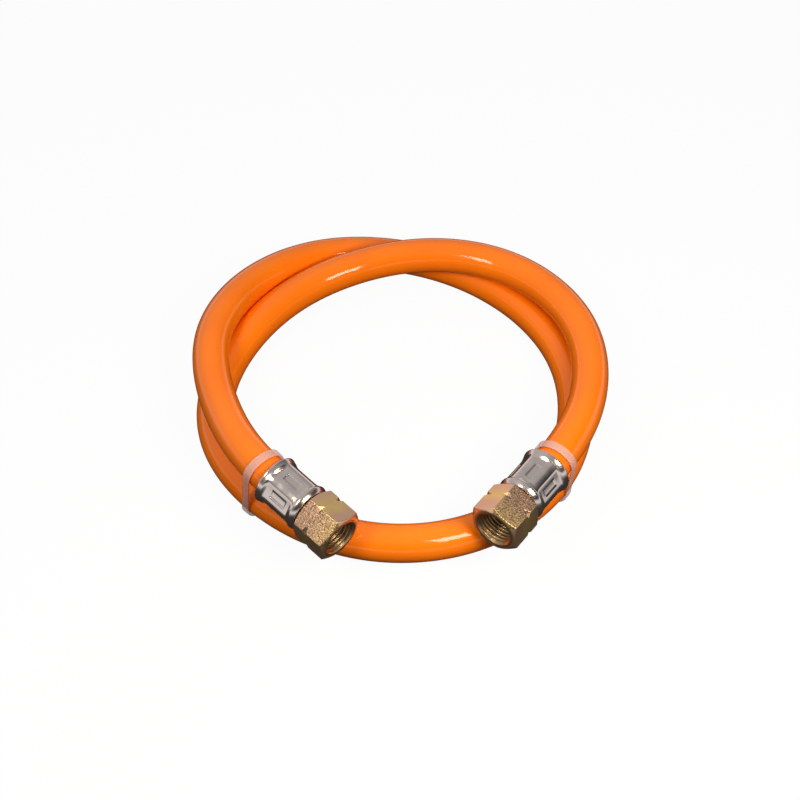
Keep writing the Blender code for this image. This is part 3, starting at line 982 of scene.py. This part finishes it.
def band_tree():
    """Node tree that runs a flat strip with rounded edges round a loop."""
    tree, given, result = new_tree("tie_band_loop", (
        ("Loop", "NodeSocketGeometry"), ("Width", "NodeSocketFloat"),
        ("Thickness", "NodeSocketFloat"), ("Rounding", "NodeSocketFloat"),
    ))
    path = add_node(tree, "GeometryNodeMeshToCurve", {"Mesh": given.outputs["Loop"]})
    strip = add_node(tree, "GeometryNodeCurvePrimitiveQuadrilateral", {
        "Width": given.outputs["Width"], "Height": given.outputs["Thickness"],
    }, mode="RECTANGLE")
    edged = add_node(tree, "GeometryNodeFilletCurve", {
        "Curve": strip.outputs["Curve"], "Count": 4, "Radius": given.outputs["Rounding"],
    }, mode="POLY")
    band = add_node(tree, "GeometryNodeCurveToMesh", {
        "Curve": path.outputs["Curve"], "Profile Curve": edged.outputs["Curve"],
    })
    real = add_node(tree, "GeometryNodeRealizeInstances", {"Geometry": band.outputs["Mesh"]})
    send_out(tree, given, result, real.outputs["Geometry"])
    return tree


def band_loop(radius, height):
    """Closed path round two turns of hose, the lower one at the origin."""
    angles = np.linspace(0, math.pi, 33)
    top = np.stack([np.cos(angles), angles * 0, np.sin(angles)], -1)
    return np.vstack([top * radius + (0, 0, height), -top * radius])


def turn_frame(route, index, away, across):
    """Map from a loop's own sides, width and height to a turn of hose that it goes round.

    The width follows the turn, and the rest is slid along it into the band's plane.
    """
    along = route[index + 1] - route[index - 1]
    along *= np.sign(along @ away) / np.linalg.norm(along)
    side = np.cross(along, (0, 0, -1))
    side /= np.linalg.norm(side)
    up = np.cross(along, side)
    slide = along / (along @ across)
    return np.stack([side - slide * (side @ across), along, up - slide * (up @ across)])


def wrap_round(mesh, fitting, sizes, hose, height):
    """Bring a loop's mesh from its own axes round both turns behind a sleeve."""
    fine_steps = 1600
    route = hose_route(fine_steps)
    from_rim = route - np.array(fitting.rim)
    behind = (from_rim @ np.array(fitting.axis) < 0) & (route[:, 2] > hose.diameter)
    off = np.abs(np.linalg.norm(from_rim, axis=1) - sizes.behind_rim)
    upper = np.where(behind, off, np.inf).argmin()
    away = route[upper + 1] - route[upper - 1]
    away *= -np.sign(away @ np.array(fitting.axis)) / np.linalg.norm(away)
    across = away + (0, 0, math.tan(sizes.lean))
    reach = route - route[upper]
    near = (np.linalg.norm(reach, axis=1) < 2 * hose.diameter) & (route[:, 2] < hose.diameter)
    lower = np.where(near, np.abs(reach @ across), np.inf).argmin()

    points = vertex_places(mesh)
    share = np.clip(points[:, 2:] / height, 0, 1)
    low, high = points.copy(), points.copy()
    low[:, 2] = np.minimum(low[:, 2], 0)
    high[:, 2] = np.maximum(high[:, 2] - height, 0)
    low = route[lower] + low @ turn_frame(route, lower, away, across)
    high = route[upper] + high @ turn_frame(route, upper, away, across)
    mesh.vertices.foreach_set("co", (low * (1 - share) + high * share).ravel())


class GASHOSE_OT_wrap_bands(Operator):
    """Wrap the two tie bands round the turns of hose"""

    bl_idname = "gas_hose.wrap_bands"
    bl_label = "Wrap the tie bands"

    def execute(self, context):
        sizes = context.scene.band_sizes
        film = clear_film(sizes.colour)
        hose = context.scene.hose_sizes
        radius = hose.diameter / 2 + BAND_CLEARANCE + sizes.thickness / 2
        height = hose.diameter
        for fitting in FITTINGS:
            name = f"film_band_{fitting.side}"
            path = path_mesh("band_path", band_loop(radius, height), closed=True)
            mesh = grow(name, path, band_tree(), {
                "Width": sizes.width, "Thickness": sizes.thickness, "Rounding": BAND_ROUNDING,
                "Material": film,
            })
            wrap_round(mesh, fitting, sizes, hose, height)
            finish_piece(name, mesh, film, "hose_body", "band_film", f"tie_band_{fitting.side}")
        return {"FINISHED"}


# Studio

def stage_camera():
    """Camera at the photograph's viewing angle."""
    elevation = math.radians(47.469)
    roll = math.radians(0.661)
    distance = 559.08 * MM
    target = Vector((-1.942, 5.220, 0.0)) * MM
    level = Vector((math.cos(VIEW_BEARING), math.sin(VIEW_BEARING), 0))
    back = level * math.cos(elevation) + Vector((0, 0, math.sin(elevation)))
    right = Vector((-level.y, level.x, 0))
    up = back.cross(right)
    x = right * math.cos(roll) + up * math.sin(roll)
    y = up * math.cos(roll) - right * math.sin(roll)
    lens = bpy.data.cameras.new("camera")
    lens.sensor_width = 36.0
    lens.lens = 66.99
    lens.clip_start = 0.01
    camera = bpy.data.objects.new("camera", lens)
    turn = Matrix((x, y, back)).transposed()
    camera.matrix_world = Matrix.LocRotScale(target + back * distance, turn, None)
    bpy.context.scene.collection.objects.link(camera)
    bpy.context.scene.camera = camera


def strip_lamp(name, right, forward, height, length, width, power):
    """Warm lamp placed as seen from the camera, facing the middle of the coil."""
    front = Vector((math.cos(VIEW_BEARING), math.sin(VIEW_BEARING), 0))
    aside = Vector((-front.y, front.x, 0))
    data = bpy.data.lights.new(name, "AREA")
    data.shape = "RECTANGLE"
    data.size = length
    data.size_y = width
    data.energy = power
    data.color = WARM_WHITE
    lamp = bpy.data.objects.new(name, data)
    place = aside * right + front * forward + Vector((0, 0, height))
    turn = (place - Vector((0, 0, 0.015))).to_track_quat("Z", "Y")
    lamp.matrix_world = Matrix.LocRotScale(place, turn, None)
    bpy.context.scene.collection.objects.link(lamp)


def white_paper():
    """Matt white paper, plain white to the camera and clear from below.

    Metal and film show it white too, and darker close by: painted shade that stands for the
    object's own shade.
    """
    material, tree, shader = surface("matt_white_paper")
    rays = add_node(tree, "ShaderNodeLightPath")
    seen = rays.outputs["Is Camera Ray"]
    fill(tree, shader, {"Roughness": 0.9, "Base Color": remap(tree, seen, wanted=(0.012, 0.8))})
    # Painted shade: mirrored rays see the floor near black within 90 mm of where they start, rising
    # to white by 380 mm.
    far = remap(tree, rays.outputs["Ray Length"], (0.09, 0.38), (0.01, 0.95))
    share = compute(tree, "MULTIPLY", mirrored(tree, rays), far)
    share = compute(tree, "MULTIPLY_ADD", seen, 0.95, share)
    white = add_node(tree, "ShaderNodeEmission", {"Color": (1, 1, 1, 1), "Strength": 1.0})
    mixed = add_node(tree, "ShaderNodeMixShader", {
        0: share, 1: shader.outputs["BSDF"], 2: white.outputs["Emission"],
    })
    side = add_node(tree, "ShaderNodeNewGeometry")
    clear = add_node(tree, "ShaderNodeBsdfTransparent")
    from_below = add_node(tree, "ShaderNodeMixShader", {
        0: side.outputs["Backfacing"], 1: mixed.outputs["Shader"], 2: clear.outputs["BSDF"],
    })
    tree.links.new(from_below.outputs["Shader"], tree.nodes["Material Output"].inputs["Surface"])
    return material


def studio_world():
    """Room that is bright overhead on one side, with a white backdrop round its foot.

    The camera sees plain white all round. Metal and film show the backdrop and the room.
    """
    world = bpy.data.worlds.new("studio")
    world.use_nodes = True
    tree = world.node_tree
    direction = add_node(tree, "ShaderNodeTexCoord").outputs["Generated"]
    bearing, lean = math.radians(178), math.radians(42)
    bright_side = (
        math.cos(bearing) * math.sin(lean), math.sin(bearing) * math.sin(lean), math.cos(lean),
    )
    towards = add_node(
        tree, "ShaderNodeVectorMath", {0: direction, 1: bright_side}, operation="DOT_PRODUCT",
    )
    fill(tree, tree.nodes["Background"], {
        "Color": colour_ramp(
            tree, towards.outputs["Value"],
            (0.05, hex_to_linear("#505050")), (0.95, hex_to_linear("#FFFFFF")),
        ),
        "Strength": 0.64,
    })
    rays = add_node(tree, "ShaderNodeLightPath")
    axes = add_node(tree, "ShaderNodeSeparateXYZ", {"Vector": direction})
    backdrop = remap(tree, axes.outputs["Z"], (0.1, 0.25), (1.0, 0.0))
    share = compute(
        tree, "MULTIPLY_ADD", mirrored(tree, rays), backdrop, rays.outputs["Is Camera Ray"],
    )
    white = add_node(tree, "ShaderNodeBackground", {"Color": (1, 1, 1, 1), "Strength": 0.99})
    seen = add_node(tree, "ShaderNodeMixShader", {
        0: share, 1: tree.nodes["Background"].outputs["Background"],
        2: white.outputs["Background"],
    })
    tree.links.new(seen.outputs["Shader"], tree.nodes["World Output"].inputs["Surface"])
    return world


class GASHOSE_OT_set_stage(Operator):
    """Set the white floor, the lamps and the camera"""

    bl_idname = "gas_hose.set_stage"
    bl_label = "Set the stage"

    def execute(self, context):
        stage_camera()
        mesh = bpy.data.meshes.new("floor")
        reach, level = 6.0, -0.08 * MM
        mesh.from_pydata(
            [(-reach, -reach, level), (reach, -reach, level), (reach, reach, level),
             (-reach, reach, level)], [], [(0, 1, 2, 3)],
        )
        mesh.materials.append(white_paper())
        floor = bpy.data.objects.new("floor", mesh)
        context.scene.collection.objects.link(floor)

        strip_lamp("lamp_left", -0.155, 0.180, 0.285, 0.065, 0.110, 0.40)
        strip_lamp("lamp_right", 0.150, 0.200, 0.250, 0.160, 0.110, 0.98)
        context.scene.world = studio_world()
        context.scene.view_settings.view_transform = "Standard"
        return {"FINISHED"}


class GASHOSE_PT_parts(Panel):
    """Panel that lists the pieces of the gas hose"""

    bl_idname = "GASHOSE_PT_parts"
    bl_label = "Gas hose"
    bl_space_type = "VIEW_3D"
    bl_region_type = "UI"
    bl_category = "Gas hose"

    def draw(self, context):
        for group, steps in PANEL_ROWS:
            box = self.layout.box()
            if group:
                sizes = getattr(context.scene, group)
                for name in GROUPS[group].__annotations__:
                    box.prop(sizes, name)
            for step in steps:
                box.operator(step.bl_idname)


PANEL_ROWS = (
    ("hose_sizes", (GASHOSE_OT_lay_hose,)),
    ("sleeve_sizes", (GASHOSE_OT_press_sleeves,)),
    ("tail_sizes", (GASHOSE_OT_turn_tails,)),
    ("nut_sizes", (GASHOSE_OT_cut_nuts,)),
    ("band_sizes", (GASHOSE_OT_wrap_bands,)),
    (None, (GASHOSE_OT_set_stage,)),
)
OPERATORS = tuple(step for _, steps in PANEL_ROWS for step in steps)


def register():
    """Register the sizes, the operators and the panel."""
    for name, group in GROUPS.items():
        bpy.utils.register_class(group)
        setattr(bpy.types.Scene, name, PointerProperty(type=group))
    for item in (*OPERATORS, GASHOSE_PT_parts):
        bpy.utils.register_class(item)


def unregister():
    """Remove what register has added."""
    for item in reversed((*OPERATORS, GASHOSE_PT_parts)):
        bpy.utils.unregister_class(item)
    for name, group in reversed(GROUPS.items()):
        delattr(bpy.types.Scene, name)
        bpy.utils.unregister_class(group)


def main():
    """Make every piece in order, then the stage."""
    register()
    bpy.ops.gas_hose.lay_hose()
    bpy.ops.gas_hose.turn_tails()
    bpy.ops.gas_hose.press_sleeves()
    bpy.ops.gas_hose.cut_nuts()
    bpy.ops.gas_hose.wrap_bands()
    bpy.ops.gas_hose.set_stage()


if __name__ == "__main__":
    main()
